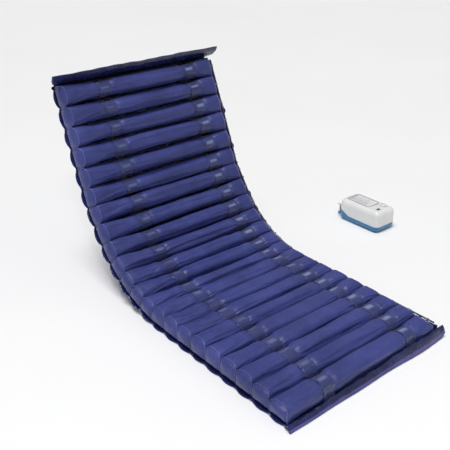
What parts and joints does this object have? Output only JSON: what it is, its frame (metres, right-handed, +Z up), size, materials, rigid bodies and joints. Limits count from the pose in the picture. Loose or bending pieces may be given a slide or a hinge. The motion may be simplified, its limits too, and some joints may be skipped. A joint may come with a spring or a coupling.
{
  "type": "pressure relief mattress",
  "caption": "Tubular air-cell pressure relief mattress with its back section raised: rows of inflated cells looped to a folding base sheet, with a compact alternating-pressure air pump.",
  "frame": {"origin": "centre of the underside of the foot section's base sheet, where it lies on the bed", "axes": "+Z up, +Y towards the head end, +X across the mattress towards the side with the air lines"},
  "size_m": [1.4995, 1.4904, 0.8803],
  "materials": {
    "cell_fabric": "satin coated nylon",
    "sheet_fabric": "glossy coated fabric",
    "hose": "smooth dark PVC",
    "case_white": "glossy moulded",
    "case_blue": "satin moulded",
    "label_film": null,
    "dial_white": "glossy moulded",
    "switch_green": "glossy moulded",
    "grey_plastic": "moulded",
    "hook_plastic": "moulded",
    "black_rubber": "matt",
    "screw_steel": "plain",
    "compressor_metal": "cast",
    "board": "solder mask"
  },
  "bodies": {
    "foot_section": {"air_cell_14": "cell_fabric", "air_cell_15": "cell_fabric", "air_cell_16": "cell_fabric", "air_cell_17": "cell_fabric", "air_cell_18": "cell_fabric", "air_cell_19": "cell_fabric", "air_cell_20": "cell_fabric", "air_cell_21": "cell_fabric", "air_cell_22": "cell_fabric", "base_sheet_foot": "sheet_fabric", "air_lines_foot": "hose"},
    "bend_1_section": {"air_cell_13": "cell_fabric", "base_sheet_bend_1": "sheet_fabric", "air_lines_bend_1": "hose"},
    "bend_2_section": {"air_cell_12": "cell_fabric", "base_sheet_bend_2": "sheet_fabric", "air_lines_bend_2": "hose"},
    "bend_3_section": {"air_cell_11": "cell_fabric", "base_sheet_bend_3": "sheet_fabric", "air_lines_bend_3": "hose"},
    "bend_4_section": {"air_cell_10": "cell_fabric", "base_sheet_bend_4": "sheet_fabric", "air_lines_bend_4": "hose"},
    "bend_5_section": {"air_cell_09": "cell_fabric", "base_sheet_bend_5": "sheet_fabric", "air_lines_bend_5": "hose"},
    "bend_6_section": {"air_cell_07": "cell_fabric", "air_cell_08": "cell_fabric", "base_sheet_bend_6": "sheet_fabric", "air_lines_bend_6": "hose"},
    "head_section": {"air_cell_01": "cell_fabric", "air_cell_02": "cell_fabric", "air_cell_03": "cell_fabric", "air_cell_04": "cell_fabric", "air_cell_05": "cell_fabric", "air_cell_06": "cell_fabric", "base_sheet_head": "sheet_fabric", "air_lines_head": "hose"},
    "pump_case": {"pump_upper_shell": "case_white", "pump_lower_shell": "case_blue", "pump_label_panel": "label_film", "pump_air_outlets": "grey_plastic", "pump_mains_gland": "black_rubber", "pump_foot_1": "black_rubber", "pump_foot_2": "black_rubber", "pump_foot_3": "black_rubber", "pump_foot_4": "black_rubber", "pump_screw_1": "screw_steel", "pump_screw_2": "screw_steel", "pump_screw_3": "screw_steel", "pump_screw_4": "screw_steel", "pump_compressor": "compressor_metal", "pump_air_distributor": "grey_plastic", "pump_circuit_board": "board"},
    "pump_dial": {"pump_pressure_dial": "dial_white"},
    "pump_switch": {"pump_power_switch": "switch_green"},
    "pump_hook_left_swing": {"pump_hook_left": "hook_plastic"},
    "pump_hook_right_swing": {"pump_hook_right": "hook_plastic"}
  },
  "joints": [
    {"name": "backrest_fold", "type": "hinge", "parent": "foot_section", "child": "bend_1_section", "pos_m": [0, 0.38864, 0], "axis": [1, 0, 0], "range_deg": [-11, 1.31]},
    {"name": "bend_2_fold", "type": "hinge", "parent": "bend_1_section", "child": "bend_2_section", "pos_m": [0, 0.47341, 0.01648], "axis": [1, 0, 0], "range_deg": [-7.5, 0.9]},
    {"name": "bend_3_fold", "type": "hinge", "parent": "bend_2_section", "child": "bend_3_section", "pos_m": [0, 0.55531, 0.04388], "axis": [1, 0, 0], "range_deg": [-10.5, 1.25]},
    {"name": "bend_4_fold", "type": "hinge", "parent": "bend_3_section", "child": "bend_4_section", "pos_m": [0, 0.63085, 0.08575], "axis": [1, 0, 0], "range_deg": [-9, 1.07]},
    {"name": "bend_5_fold", "type": "hinge", "parent": "bend_4_section", "child": "bend_5_section", "pos_m": [0, 0.6989, 0.13892], "axis": [1, 0, 0], "range_deg": [-8.5, 1.01]},
    {"name": "bend_6_fold", "type": "hinge", "parent": "bend_5_section", "child": "bend_6_section", "pos_m": [0, 0.75835, 0.20157], "axis": [1, 0, 0], "range_deg": [-8, 0.96]},
    {"name": "head_fold", "type": "hinge", "parent": "bend_6_section", "child": "head_section", "pos_m": [0, 0.85866, 0.34219], "axis": [1, 0, 0], "range_deg": [-12.5, 1.49]},
    {"name": "pump_lift", "type": "slide", "parent": "foot_section", "child": "pump_case", "axis": [0, 0, 1], "range_m": [0, 0.5]},
    {"name": "dial_turn", "type": "hinge", "parent": "pump_case", "child": "pump_dial", "pos_m": [1.027, 0.377, 0.11], "axis": [0, 0, 1], "range_deg": [-135, 135]},
    {"name": "switch_rock", "type": "hinge", "parent": "pump_case", "child": "pump_switch", "pos_m": [0.971, 0.363, 0.109], "axis": [0, 1, 0], "range_deg": [0, 14]},
    {"name": "hook_left_swing", "type": "hinge", "parent": "pump_case", "child": "pump_hook_left_swing", "pos_m": [0.952, 0.5915, 0.022], "axis": [1, 0, 0], "range_deg": [-90, 0]},
    {"name": "hook_right_swing", "type": "hinge", "parent": "pump_case", "child": "pump_hook_right_swing", "pos_m": [1.042, 0.5915, 0.022], "axis": [1, 0, 0], "range_deg": [-90, 0]}
  ]
}
